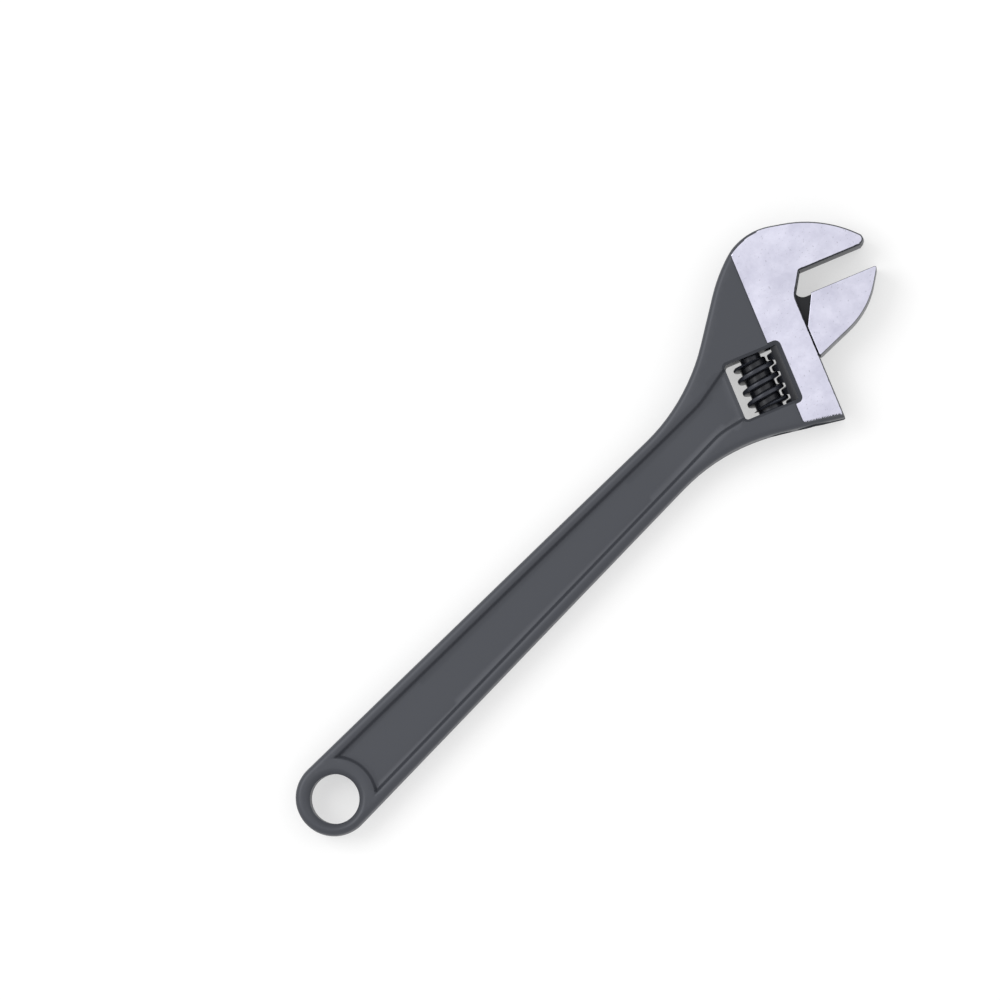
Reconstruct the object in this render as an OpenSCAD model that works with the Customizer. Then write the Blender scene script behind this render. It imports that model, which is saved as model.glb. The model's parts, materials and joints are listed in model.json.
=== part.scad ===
// Adjustable wrench lying flat: +X runs along the handle to the head, +Y is the fixed-jaw side, +Z is up.
// The origin is the middle of the hang hole, half way through the handle.
// The head has a frame of its own at the middle of the worm, turned by head_angle:
// u points to the jaw tips, v is the way the sliding jaw closes, z is up.

/* [Handle] */
// Distance from the hang hole to the middle of the worm, along the handle
head_x = 334.6; // [280:0.2:420]
// Thickness of the handle over its rims
handle_t = 16; // [12:0.5:20]
// Thickness of the web between the rims
web_t = 10; // [6:0.5:11]
// Half the handle's width at the hang hole, which is also the radius of its round end
hang_half_w = 21.8; // [20:0.1:26]
// Half the handle's width at the neck
neck_half_w = 16.5; // [14:0.1:19]
// Width of each rim
rim_w = 5.4; // [3:0.1:7]
// Distance from the hang hole's middle to the handle's middle line
handle_mid = 1.1; // [-1.5:0.1:1.5]

/* [Hang hole] */
// Radius of the hang hole
hang_hole_r = 14; // [8:0.1:15]
// Width of the countersink at each end of the hang hole
hang_bevel = 2; // [0.5:0.1:2.5]
// Radius of the full-thickness boss around the hang hole
hang_boss_r = 22.4; // [20:0.1:30]

/* [Head] */
// Angle between the handle and the jaw faces
head_angle = 22.5; // [20:0.5:24]
// Sideways offset of the worm from the hang hole
head_y = -4.6; // [-6:0.1:-3]
// Thickness of the head over its ground faces, and of the sliding jaw
head_t = 26; // [25:0.5:34]
// Height of each ground face above the forged skin
ground_step = 0.8; // [0.3:0.1:1.2]
// Distance from the worm's middle to the slide face that the jaw's shoulders run on
slide_face_u = 36.4; // [34:0.1:40]
// Distance from the worm's middle to the fixed jaw's gripping face
fixed_face_v = 50; // [44:0.5:54]
// Depth of the throat, from the slide face to the fixed jaw's tip
throat_depth = 52.9; // [48:0.1:58]
// Height of the fixed jaw's crown above its gripping face
crown_h = 33.4; // [28:0.1:38]
// Length of the sliding jaw, from its shoulders to its tip
jaw_len = 49.2; // [44:0.1:54]
// Depth of the sliding jaw below its gripping face
jaw_depth = 34.8; // [31:0.1:36]

/* [Jaws] */
// Gap between the jaws as the wrench lies
jaw_gap = 14.3; // [6:0.1:20]
// Widest gap between the jaws
max_gap = 53; // [40:0.5:54]
// Thickness of the neck that joins the sliding jaw to its rail
neck_t = 10; // [6:0.5:12]
// Radius of the sliding jaw's rail
rail_r = 10; // [9:0.1:10.8]
// Length of the rail
rail_len = 74; // [66:1:78]

/* [Worm] */
// Outer radius of the worm's thread
worm_r = 11.6; // [10:0.1:12.2]
// Radius of the worm between its threads
worm_root_r = 8; // [7.5:0.1:8.8]
// Distance from one turn of the thread to the next
pitch = 7; // [5.5:0.1:8.5]
// Width of the thread at its crest
crest_w = 2.2; // [1.2:0.1:2.4]
// Length of the threaded stretch
thread_len = 27.4; // [22:0.2:28.6]
// Radius of the axle screw that the worm turns on
pin_r = 4; // [3:0.1:4.4]
// Wire radius of the worm's spring
wire_r = 0.6; // [0.4:0.05:0.65]

/* [Window] */
// Length of the window along the worm
window_len = 33; // [32:0.2:36]
// Distance from the worm's axis to the window's wall on the handle's side
window_back = 15.5; // [14:0.1:17]
// Distance from the worm's axis to the window's wall on the rail's side
window_front = 16.5; // [14.5:0.1:17]
// Width of the bevel round the window's mouth
window_bevel = 2.4; // [1:0.1:2.6]

/* [Fits] */
// Running clearance round the rail in its bore
rail_gap = 0.1; // [0.05:0.01:0.1]
// Clearance each side of the neck in its slot, and under the jaw's shoulders
slide_gap = 0.2; // [0.1:0.05:0.3]
// Running clearance round the axle screw in the worm
pin_gap = 0.08; // [0.04:0.01:0.1]
// End play of the worm at each end of the window
worm_end_gap = 0.2; // [0.1:0.05:0.3]
// Free play between the thread and the rack, along the worm
mesh_play = 0.8; // [0.5:0.05:1]
// Share of that play on the side where the thread bears on the rack
bearing_gap = 0.2; // [0.15:0.05:0.25]

/* [Hidden] */
$fn = 96;

BIG = 200;              // larger than any cut needs to be
ARC_STEP = 6;           // degrees from point to point round an arc of an outline

forge_t = head_t - 2 * ground_step;

// the neck's ramp from the handle's thickness to the head's
ramp_start = head_x - 76;
ramp_end = head_x - 22;
ramp_steps = 12;

// bends of the outline beside the neck
neck_start = head_x - 70;
neck_bend_r = 110;
neck_low_x = head_x - 40;
neck_high_x = head_x - 36.4;

// the throat: a bevel from the slide face to the fixed jaw's gripping face
throat_bevel_u = 7.8;
throat_bevel_v = 12.5;
throat_u = slide_face_u + throat_bevel_u;
throat_low_v = fixed_face_v - throat_bevel_v;

// the crown: the outline from the fixed jaw's tip over the top of the head
tip_top_u = slide_face_u + throat_depth - 21.7;
tip_top_v = fixed_face_v + crown_h - 10.1;
crown_u = slide_face_u - 15.1;
crown_v = fixed_face_v + crown_h;
crown_back_u = slide_face_u - 36.9;
crown_back_v = fixed_face_v + 13.9;

// lower edge of the head: a straight line in the head's frame
low_edge_slope = -0.183;
low_edge_v = -30.1;

// the worm's thread
flank_slope = 0.2;      // widening of the thread per millimetre towards its root
thread_start_v = 1.75;  // where the crest crosses the rack's side, near the worm's middle
thread_steps = 16;      // flat stretches in one turn
thread_sink = 0.6;      // how far the thread's foot goes into the core
thread_v = -thread_len / 2 - 0.3;
worm_len = window_len - 2 * worm_end_gap;
low_hub_r = worm_root_r - 0.6;
top_hub_r = worm_root_r - 2;

// the rack cut into the rail
tip_room = 1;           // between a tooth's tip and the worm's core, and a crest and its gap's floor
tooth_tip_u = worm_root_r + tip_room;
tooth_root_u = worm_r + tip_room;
rail_u = tooth_tip_u + rail_r;
lead_angle = atan(pitch / (PI * (worm_r + tooth_tip_u)));
closing = jaw_gap - slide_gap;
opening = max_gap - jaw_gap;
jaw_face_v = fixed_face_v - jaw_gap;
rail_rise = 10.5;       // how far the rail's end stands above the gripping face
rail_top_v = jaw_face_v + rail_rise;
rail_low_v = rail_top_v - rail_len;
rail_end_bevel = 1.5;
rail_end_room = 2;      // left beyond the rail's end when the jaws are closed

// the sliding jaw: a bevel at its back corner and a rounded nose under its tip
jaw_back_u = slide_face_u + slide_gap;
jaw_bevel_u = 9.2;
jaw_bevel_v = 17;
jaw_nose_u = 13.9;
jaw_nose_v = 21.2;

// the neck between the rail and the sliding jaw
neck_top_v = jaw_face_v + 5.8;
neck_front_u = jaw_back_u + 0.8;
neck_fillet_r = 5;
neck_foot_v = jaw_face_v - jaw_depth + 2.8;
neck_foot_slope_v = 9;
neck_inside_u = jaw_back_u + jaw_bevel_u + 0.2;
neck_sink = 0.4;        // how far below the gripping face the neck stays inside the jaw
slot_t = neck_t + 2 * slide_gap;
pocket_run_out = 0.4;   // how far the neck's pocket runs past the throat's corner
pocket_end_room = 1;

// the axle screw and its holes
screw_head_r = 6;
screw_head_len = 3.6;
screw_seat_v = -window_len / 2 - 8.6;
screw_end_v = window_len / 2 + 11.5;
screw_end_room = 1;
screw_fit = 0.05;
screw_head_fit = 0.15;
slot_w = 1.6;
slot_depth = 1.4;

// the spring in the worm's lower hub
spring_room = 7.2;
spring_room_r = 6.1;
spring_turns = 4;
spring_r = (pin_r + spring_room_r) / 2 + 0.1;
spring_end_gap = 0.1;   // from the wire's ends to the window's wall and the hub
spring_steps = 18;
spring_sides = 8;

// ---- outlines ----

function unit(v) = v / norm(v);

// a point of the head's frame in the wrench's own frame
function from_head(p) = [
    head_x + p[0] * cos(head_angle) + p[1] * sin(head_angle),
    head_y - p[0] * sin(head_angle) + p[1] * cos(head_angle),
    p[2]
];

function arc(c, r, a, turn) =
    let (n = max(1, ceil(abs(turn) / ARC_STEP)))
    [for (i = [0:n]) c + r * [cos(a + turn * i / n), sin(a + turn * i / n)]];

// the arc of radius r that rounds the corner q between its neighbours p and s
function corner(p, q, s, r) =
    r == 0 ? [q] :
    let (
        to_p = unit(p - q),
        to_s = unit(s - q),
        half = acos(to_p * to_s) / 2,
        c = q + unit(to_p + to_s) * r / sin(half),
        from = q + to_p * r / tan(half) - c,
        to = q + to_s * r / tan(half) - c,
        a = atan2(from[1], from[0]),
        turn = (atan2(to[1], to[0]) - a + 540) % 360 - 180
    )
    arc(c, r, a, turn);

function flat(p) = [p[0], p[1]];

// a closed outline from corners given as [x, y, radius]
function outline(corners) =
    let (n = len(corners))
    [for (i = [0:n - 1])
        let (before = corners[(i + n - 1) % n], after = corners[(i + 1) % n])
        each corner(flat(before), flat(corners[i]), flat(after), corners[i][2])];

function low_edge(u) = low_edge_v + low_edge_slope * u;

taper = atan((hang_half_w - neck_half_w) / neck_start);

body_corners = concat(
    [for (p = arc([0, handle_mid], hang_half_w, 90 - taper, 180 + 2 * taper)) [p[0], p[1], 0]],
    [[neck_low_x, handle_mid - neck_half_w, neck_bend_r]],
    [for (p = [
        [slide_face_u, low_edge(slide_face_u), 1],
        [slide_face_u, throat_low_v, 8],
        [throat_u, fixed_face_v, 1],
        [slide_face_u + throat_depth, fixed_face_v, 3.5],
        [tip_top_u, tip_top_v, 70],
        [crown_u, crown_v, 35],
        [crown_back_u, crown_back_v, 28]
    ]) from_head(p)],
    [[neck_high_x, handle_mid + neck_half_w, neck_bend_r]]
);

// the ground faces' edge, which steps out below the window's bevel
ground_back_u = 12;
ground_low_back_u = 13.6;
ground_step_v = -window_len / 2 - window_bevel - 1.6;
ground_low_margin = 2;  // unground band along the lower edge at its back, narrowing to
ground_end_margin = 0.5;
ground_corners = [
    [ground_low_back_u, low_edge(ground_low_back_u) + ground_low_margin, 2.5],
    [slide_face_u + BIG, low_edge(slide_face_u + BIG) + ground_end_margin, 0],
    [slide_face_u + BIG, BIG, 0],
    [ground_back_u, BIG, 0],
    [ground_back_u, ground_step_v, 1],
    [ground_low_back_u, ground_step_v, 0.5]
];

jaw_corners = [
    [jaw_back_u, jaw_face_v - jaw_depth, 0.8],
    [jaw_back_u + jaw_len - jaw_nose_u, jaw_face_v - jaw_nose_v, 48],
    [jaw_back_u + jaw_len, jaw_face_v, 1],
    [jaw_back_u + jaw_bevel_u, jaw_face_v, 0.6],
    [jaw_back_u, jaw_face_v - jaw_bevel_v, 0.8]
];

neck_corners = [
    [rail_u, neck_foot_v, 0],
    [jaw_back_u + 1, neck_foot_v, 0],
    [neck_inside_u, neck_foot_v + neck_foot_slope_v, 0],
    [neck_inside_u, jaw_face_v - neck_sink, 0],
    [neck_front_u, jaw_face_v - neck_sink, neck_fillet_r],
    [neck_front_u, neck_top_v, 1],
    [rail_u, neck_top_v, 0]
];

// ---- shared shapes ----

module in_head() {
    translate([head_x, head_y, 0])
        rotate([0, 0, -head_angle])
            children();
}

// a plate of thickness t, half above and half below the middle
module plate(corners, t) {
    linear_extrude(height = t, center = true)
        polygon(outline(corners));
}

// a cylinder along v, from one v to another
module along_v(from, to, r) {
    translate([0, from, 0])
        rotate([-90, 0, 0])
            cylinder(h = to - from, r = r);
}

// half a thickness along the handle, easing from one value to the other over the ramp
function ease(t) = t * t * (3 - 2 * t);
function half_height(at_handle, at_head) = concat(
    [[-BIG, at_handle]],
    [for (i = [0:ramp_steps])
        [ramp_start + (ramp_end - ramp_start) * i / ramp_steps,
         at_handle + (at_head - at_handle) * ease(i / ramp_steps)]],
    [[head_x + BIG, at_head]]
);

// a side view in x and z, carried across the whole width
module across(points) {
    rotate([90, 0, 0])
        linear_extrude(height = 2 * BIG, center = true)
            polygon(points);
}

module both_sides() {
    children();
    mirror([0, 0, 1])
        children();
}

// a closed tube or bar through rings of points that all have the same number of points
module sweep(rings) {
    n = len(rings[0]);
    last = len(rings) - 1;
    polyhedron(
        points = [for (ring = rings) each ring],
        faces = concat(
            [[for (k = [n - 1:-1:0]) k]],
            [[for (k = [0:n - 1]) last * n + k]],
            [for (i = [0:last - 1], k = [0:n - 1])
                [i * n + k, i * n + (k + 1) % n, (i + 1) * n + k]],
            [for (i = [0:last - 1], k = [0:n - 1])
                [(i + 1) * n + k, i * n + (k + 1) % n, (i + 1) * n + (k + 1) % n]]
        )
    );
}

// ---- body ----

module recess_plan() {
    half_at_boss = hang_half_w - rim_w;
    half_at_neck = neck_half_w - rim_w;
    recess_lag = 4;     // its bends come this much nearer to the head than the outline's
    window_low = from_head([-window_back, -window_len / 2, 0]);
    window_high = from_head([-window_back, window_len / 2, 0]);
    behind_wall_low = from_head([0, -window_len / 2, 0]);
    behind_wall_high = from_head([0, window_len / 2, 0]);
    difference() {
        polygon(outline([
            [0, handle_mid - half_at_boss, 0],
            [neck_low_x + recess_lag, handle_mid - half_at_neck, 40],
            [window_low[0], window_low[1], 0],
            [behind_wall_low[0], behind_wall_low[1], 0],
            [behind_wall_high[0], behind_wall_high[1], 0],
            [window_high[0], window_high[1], 0],
            [neck_high_x + recess_lag, handle_mid + half_at_neck, 60],
            [0, handle_mid + half_at_boss, 0]
        ]));
        circle(r = hang_boss_r);
    }
}

module forging() {
    upper = half_height(handle_t / 2, forge_t / 2);
    floor_line = half_height(web_t / 2, web_t / 2 + (forge_t - handle_t) / 2);
    difference() {
        intersection() {
            plate(body_corners, forge_t + 1);
            across(concat(
                [for (i = [len(upper) - 1:-1:0]) upper[i]],
                [for (p = upper) [p[0], -p[1]]]
            ));
        }
        both_sides()
            intersection() {
                linear_extrude(height = head_t)
                    recess_plan();
                across(concat(floor_line, [[head_x + BIG, BIG], [-BIG, BIG]]));
            }
    }
}

module ground_faces() {
    intersection() {
        plate(body_corners, head_t);
        in_head()
            plate(ground_corners, head_t + 1);
    }
}

module window_plan(grow) {
    polygon(outline([
        [-window_back - grow, -window_len / 2 - grow, 2 + grow],
        [window_front + grow, -window_len / 2 - grow, 1 + grow],
        [window_front + grow, window_len / 2 + grow, 1 + grow],
        [-window_back - grow, window_len / 2 + grow, 2 + grow]
    ]));
}

// the window and the 45 degree bevel round each of its mouths
module window() {
    inside = 1;
    linear_extrude(height = BIG, center = true)
        window_plan(0);
    both_sides()
        hull() {
            translate([0, 0, head_t / 2 - window_bevel - inside])
                linear_extrude(height = 0.01)
                    window_plan(-inside);
            translate([0, 0, head_t / 2 + inside])
                linear_extrude(height = 0.01)
                    window_plan(window_bevel + inside);
        }
}

module rail_way() {
    translate([rail_u, 0, 0])
        along_v(-BIG, rail_top_v + closing + rail_end_room, rail_r + rail_gap);
    // the slot is open to the jaw below the throat, and a pocket above it takes the neck when the jaws close
    translate([rail_u, -BIG, -slot_t / 2])
        cube([slide_face_u + 1 - rail_u, BIG + throat_low_v, slot_t]);
    translate([rail_u, 0, -slot_t / 2])
        cube([throat_u + pocket_run_out - rail_u, neck_top_v + closing + pocket_end_room, slot_t]);
}

module screw_way() {
    along_v(screw_seat_v - screw_head_len, screw_end_v + screw_end_room, pin_r + screw_fit);
    along_v(-BIG, screw_seat_v, screw_head_r + screw_head_fit);
}

module hang_hole() {
    cylinder(h = BIG, r = hang_hole_r, center = true);
    both_sides()
        translate([0, 0, handle_t / 2 - hang_bevel])
            cylinder(h = hang_bevel + 0.01, r1 = hang_hole_r, r2 = hang_hole_r + hang_bevel + 0.01);
}

module body() {
    color("dimgray")
        difference() {
            union() {
                forging();
                ground_faces();
            }
            hang_hole();
            in_head() {
                window();
                rail_way();
                screw_way();
            }
        }
}

// ---- sliding jaw ----

// half the thread's width at a distance r from the worm's axis
function thread_half(r) = crest_w / 2 + flank_slope * (worm_r - r);

module rack_gap() {
    tip_half = thread_half(tooth_tip_u - 1) + mesh_play / 2;
    root_half = thread_half(tooth_root_u) + mesh_play / 2;
    rotate([lead_angle, 0, 0])
        linear_extrude(height = 4 * rail_r, center = true)
            polygon([
                [tooth_tip_u - 1, -tip_half],
                [tooth_root_u, -root_half],
                [tooth_root_u, root_half],
                [tooth_tip_u - 1, tip_half]
            ]);
}

module rail() {
    first = ceil((rail_low_v - thread_start_v) / pitch);
    last = floor((rail_top_v - thread_start_v) / pitch);
    difference() {
        translate([rail_u, rail_low_v, 0])
            rotate([-90, 0, 0])
                rotate_extrude()
                    polygon([
                        [0, 0],
                        [rail_r - rail_end_bevel, 0],
                        [rail_r, rail_end_bevel],
                        [rail_r, rail_len - rail_end_bevel],
                        [rail_r - rail_end_bevel, rail_len],
                        [0, rail_len]
                    ]);
        for (k = [first:last])
            translate([0, thread_start_v + k * pitch - mesh_play / 2 + bearing_gap, 0])
                rack_gap();
    }
}

module sliding_jaw() {
    color("gainsboro")
        in_head()
            union() {
                plate(jaw_corners, head_t);
                plate(neck_corners, neck_t);
                rail();
            }
}

// ---- worm, its axle screw and its spring ----

// a right-hand thread: v grows as the angle from u towards z falls
module thread() {
    turns = ceil(thread_len / pitch) + 2;
    start_turns = -floor(turns / 2);
    foot_r = worm_root_r - thread_sink;
    foot_half = thread_half(foot_r);
    crest_half = crest_w / 2;
    rings = [for (i = [0:turns * thread_steps])
        let (
            a = -360 * i / thread_steps,
            v = thread_start_v + pitch * (start_turns + i / thread_steps)
        )
        [for (p = [[foot_r, -foot_half], [worm_r, -crest_half], [worm_r, crest_half], [foot_r, foot_half]])
            [p[0] * cos(a), v + p[1], p[0] * sin(a)]]
    ];
    intersection() {
        sweep(rings);
        along_v(thread_v, thread_v + thread_len, worm_r + 1);
    }
}

module worm() {
    color("#2c2e33")
        in_head()
            difference() {
                union() {
                    thread();
                    along_v(thread_v, thread_v + thread_len, worm_root_r);
                    along_v(-worm_len / 2, 0, low_hub_r);
                    along_v(0, worm_len / 2, top_hub_r);
                }
                along_v(-worm_len, worm_len, pin_r + pin_gap);
                along_v(-worm_len, -worm_len / 2 + spring_room, spring_room_r);
            }
}

module worm_pin() {
    color("#4a4c52")
        in_head()
            difference() {
                union() {
                    along_v(screw_seat_v - screw_head_len, screw_end_v, pin_r);
                    along_v(screw_seat_v - screw_head_len, screw_seat_v - screw_fit, screw_head_r);
                }
                translate([-screw_head_r - 1, screw_seat_v - screw_head_len - 1, -slot_w / 2])
                    cube([2 * screw_head_r + 2, slot_depth + 1, slot_w]);
            }
}

module worm_spring() {
    low = -window_len / 2 + wire_r + spring_end_gap;
    high = -worm_len / 2 + spring_room - wire_r - spring_end_gap;
    count = spring_turns * spring_steps;
    rings = [for (i = [0:count])
        let (
            a = -360 * i / spring_steps,
            v = low + (high - low) * ease(i / count)
        )
        [for (k = [0:spring_sides - 1])
            let (
                b = 360 * k / spring_sides,
                r = spring_r + wire_r * cos(b)
            )
            [r * cos(a), v + wire_r * sin(b), r * sin(a)]]
    ];
    color("silver")
        in_head()
            sweep(rings);
}

body();
sliding_jaw();
worm();
worm_pin();
worm_spring();
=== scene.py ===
"""Adjustable wrench: the forged body, sliding jaw, worm, axle screw and spring as finished surfaces.

Shapes are worked out in millimetres and written to the meshes in metres, in the frame that the CAD model
gives: +X along the handle to the head, +Z up through the thickness, origin in the middle of the hang hole.
The head has its own directions from the worm's joint: u points to the jaw tips and v is the way that the
sliding jaw closes.
"""

import json
import math
from types import SimpleNamespace

import bmesh
import bpy
import numpy as np
from mathutils import Matrix, Vector
from mathutils.geometry import delaunay_2d_cdt


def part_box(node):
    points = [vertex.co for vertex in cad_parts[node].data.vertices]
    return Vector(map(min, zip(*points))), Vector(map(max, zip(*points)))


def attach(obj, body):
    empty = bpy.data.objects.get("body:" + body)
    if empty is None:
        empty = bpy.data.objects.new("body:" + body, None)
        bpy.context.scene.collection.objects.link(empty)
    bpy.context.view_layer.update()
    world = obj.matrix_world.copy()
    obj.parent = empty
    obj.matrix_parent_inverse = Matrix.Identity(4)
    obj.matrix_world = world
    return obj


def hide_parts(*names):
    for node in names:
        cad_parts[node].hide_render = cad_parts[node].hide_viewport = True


bl_info = {
    "name": "Adjustable wrench",
    "version": (1, 0, 0),
    "blender": (4, 5, 0),
    "location": "View3D > Sidebar > Wrench",
    "description": "Builds the finished surfaces of an adjustable wrench round its packed CAD frame",
    "category": "Add Mesh",
}

MM = 0.001

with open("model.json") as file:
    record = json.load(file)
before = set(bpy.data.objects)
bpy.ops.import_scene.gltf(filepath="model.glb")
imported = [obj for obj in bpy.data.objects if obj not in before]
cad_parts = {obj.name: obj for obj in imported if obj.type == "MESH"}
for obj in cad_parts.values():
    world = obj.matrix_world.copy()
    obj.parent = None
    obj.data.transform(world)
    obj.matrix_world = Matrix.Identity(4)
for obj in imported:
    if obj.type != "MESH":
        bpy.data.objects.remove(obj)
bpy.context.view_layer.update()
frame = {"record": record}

record = frame["record"]
JOINTS = {joint["name"]: joint for joint in record["behaviour"]["joints"]}
MOUNTS = {mount["name"]: mount for mount in record["mounts"]}
WORM = np.array(JOINTS["worm_turn"]["pos_m"]) / MM
V_WAY = np.array(JOINTS["worm_turn"]["axis"])
U_WAY = np.array([V_WAY[1], -V_WAY[0], 0.0])
HEAD_TURN = math.atan2(U_WAY[1], U_WAY[0])
PITCH = 2 * math.pi / record["behaviour"]["couplings"][0]["ratio"] / MM
HANG_R = MOUNTS["hang_hole"]["dims"]["r_mm"]
HALF_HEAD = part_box("body")[1][2] / MM
FACE_V = float((np.array(MOUNTS["fixed_jaw_face"]["pos_m"]) / MM - WORM) @ V_WAY)
JAW_V = float((np.array(MOUNTS["sliding_jaw_face"]["pos_m"]) / MM - WORM) @ V_WAY)

# fixed features, in millimetres
LOW_EDGE_V, LOW_EDGE_SLOPE = -30.1, -0.183
NECK_BACK, NECK_BEND = 70, 110
THROAT_BEVEL = (7.8, 12.5)
JAW_BEVEL = (9.2, 17.0)
FORGED_LEAN = 0.4
GROUND_EDGE = 0.7
GROUND_SLOPE = 0.35
DISH = 3.5
LIP = 0.4
FLANK_SLOPE = 0.2
SEAT_V, SCREW_V, HEAD_LEN = -25.1, 28.0, 3.55
SPRING_ROOM = (6.1, 7.2)
EDGE_EASE = 0.45
JAW_BACK_BEND = (13.9, 21.2, 48)
NECK_FOOT, NECK_TOP = 2.8, 5.8

# how far below the worm's middle the cutters start, outside the head
BELOW = -90

# faces larger than this, in square millimetres, are shaded flat
FLAT_AREA = 30

# the view: the point looked at, the camera's place and the width seen there, in metres, and the handle's
# slant in degrees
VIEW_MIDDLE = (0.1847, 0.0535, 0.0)
VIEW_FROM = (0.239, -0.2356, 3.5)
VIEW_WIDTH = 0.5638
VIEW_TURN = 45.17
FILM_WIDTH = 36

# the stage: floor and lights in metres, light power in watts
FLOOR_HALF = 6.0
FLOOR_GLOW = 0.5
WORLD_LIGHT = 0.82
LIGHTS_AIM = (0.2, 0.0, 0.0)
KEY_PLACE, KEY_SIZE, KEY_LIGHT = (-0.5, 1.5, 2.2), 1.6, 26
FILL_PLACE, FILL_SIZE, FILL_LIGHT = (1.9, -0.6, 1.8), 1.8, 6


def length(name, description, default):
    """A length property: the default is given in millimetres and kept in metres."""
    return bpy.props.FloatProperty(
        name=name, description=description, default=default * MM, precision=5, unit="LENGTH"
    )


def colour(name, description, default):
    """A colour property in linear red, green and blue."""
    return bpy.props.FloatVectorProperty(
        name=name, description=description, default=default, size=3, min=0, max=1, subtype="COLOR"
    )


class HandleSizes(bpy.types.PropertyGroup):
    """Sizes of the handle, its rims and the hang hole's boss."""
    end_half_width: length("Half width at the hole", "Radius of the handle's round end", 21.8)
    neck_half_width: length("Half width at the neck", "Half the handle's width before the head", 16.5)
    middle: length("Middle line", "Offset of the handle's middle line from the hang hole", 1.1)
    half_thickness: length("Half thickness", "Half the handle's thickness over its rims", 8)
    rim: length("Rim width", "Width of the flat rim beside the recess", 5.4)
    recess_depth: length("Recess depth", "Depth of the recess below the rims", 3)
    recess_wall: length("Recess wall", "Width of the recess's sloping wall", 2.6)
    boss_radius: length("Boss radius", "Radius of the full-thickness boss round the hang hole", 22.4)
    hole_bevel: length("Hole bevel", "Width of the countersink at each end of the hang hole", 2)
    edge_round: length("Edge round", "Radius of the forged edges", 3.2)
    ramp_start: length("Ramp start", "Distance before the worm where the handle starts to thicken", 76)
    ramp_end: length("Ramp end", "Distance before the worm where the head's full thickness is reached", 22)


class HeadSizes(bpy.types.PropertyGroup):
    """Sizes of the head, its window and its machined faces."""
    slide_face: length("Slide face", "Distance from the worm's axis to the slide face", 36.4)
    throat_depth: length("Throat depth", "From the slide face to the fixed jaw's tip", 52.9)
    crown: length("Crown", "Height of the fixed jaw's crown above its gripping face", 33.4)
    ground_step: length("Ground step", "Height of the ground faces above the forged skin", 0.8)
    ground_back: length("Ground edge", "Distance from the worm's axis to the ground faces' back edge", 12)
    window_back: length("Window back", "Distance from the worm's axis to the window's handle side", 15.5)
    window_front: length("Window front", "Distance from the worm's axis to the window's rail side", 16.5)
    window_half: length("Half window", "Half the window's length", 16.5)
    window_bevel: length("Window bevel", "Width of the bevel round the window's mouth", 2.4)
    bore_gap: length("Bore gap", "Clearance round the rail in its bore", 0.1)


class JawSizes(bpy.types.PropertyGroup):
    """Sizes of the sliding jaw, its neck, rail and rack."""
    back: length("Jaw back", "Distance from the worm's axis to the jaw's shoulders", 36.6)
    length: length("Jaw length", "Length of the sliding jaw from its shoulders to its tip", 49.2)
    depth: length("Jaw depth", "Depth of the sliding jaw below its gripping face", 34.8)
    neck_half: length("Half neck", "Half the neck's thickness", 5)
    rail_radius: length("Rail radius", "Radius of the guide rail", 10)
    rail_axis: length("Rail axis", "Distance from the worm's axis to the rail's axis", 19)
    rail_length: length("Rail length", "Length of the guide rail", 74)
    rail_above: length("Rail above the face", "How far the rail stands above the gripping face", 10.5)
    tooth_root: length("Tooth root", "Distance from the worm's axis to the bottom of the rack's gaps", 12.6)
    mesh_play: length("Mesh play", "Free play between the thread and the rack", 0.8)
    bearing_gap: length("Bearing gap", "Gap on the side where the thread bears", 0.2)


class WormSizes(bpy.types.PropertyGroup):
    """Sizes of the worm, its axle screw and its spring."""
    crest_radius: length("Crest radius", "Outer radius of the thread", 11.6)
    root_radius: length("Root radius", "Radius between the threads", 8)
    crest_width: length("Crest width", "Width of the thread at its crest", 2.2)
    phase: length("Thread phase", "Where the crest crosses the rack's side", 1.75)
    thread_low: length("Thread start", "Lower end of the threaded stretch", -14)
    thread_high: length("Thread end", "Upper end of the threaded stretch", 13.4)
    half_length: length("Half length", "Half the worm's whole length", 16.3)
    pin_radius: length("Axle radius", "Radius of the axle screw", 4)
    pin_gap: length("Axle gap", "Running clearance round the axle screw", 0.08)
    screw_head: length("Screw head radius", "Radius of the axle screw's head", 6)
    spring_wire: length("Wire radius", "Radius of the spring's wire", 0.6)
    spring_turns: bpy.props.IntProperty(
        name="Spring turns", description="Turns in the worm's spring", default=4, min=2, max=8
    )


class FinishLook(bpy.types.PropertyGroup):
    """Colours of the finishes."""
    ground: colour("Ground steel", "Finely ground faces", (0.74, 0.735, 0.86))
    oxide: colour("Oxide", "Black oxide on the worm and the machined surfaces", (0.010, 0.011, 0.015))
    floor: colour("Floor", "Plain pale floor", (0.5, 0.5, 0.5))


def props():
    """The scene's sizes and colours."""
    scene = bpy.context.scene
    return (scene.wrench_handle, scene.wrench_head, scene.wrench_jaw, scene.wrench_worm, scene.wrench_finish)


# ---- plane geometry ----


def to_wrench(u, v):
    """Points of the head's frame in the wrench's own plane: worm + u times its way + v times its way."""
    u, v = np.broadcast_arrays(np.asarray(u, float), np.asarray(v, float))
    return WORM[:2] + u[..., None] * U_WAY[:2] + v[..., None] * V_WAY[:2]


def to_head(points):
    """The u and v of points in the wrench's plane."""
    away = points - WORM[:2]
    return away @ U_WAY[:2], away @ V_WAY[:2]


def smooth(t):
    """Zero below 0, one above 1, and 3t^2 - 2t^3 between."""
    t = np.clip(t, 0.0, 1.0)
    return t * t * (3 - 2 * t)


def unit(a):
    return a / np.maximum(np.linalg.norm(a, axis=-1, keepdims=True), 1e-12)


def arc(centre, radius, start, turn, step=math.radians(3)):
    """Points on a circle from an angle, turning by an angle."""
    angles = start + turn * np.linspace(0, 1, max(2, math.ceil(abs(turn) / step) + 1))
    return np.asarray(centre) + radius * np.stack([np.cos(angles), np.sin(angles)], axis=1)


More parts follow.
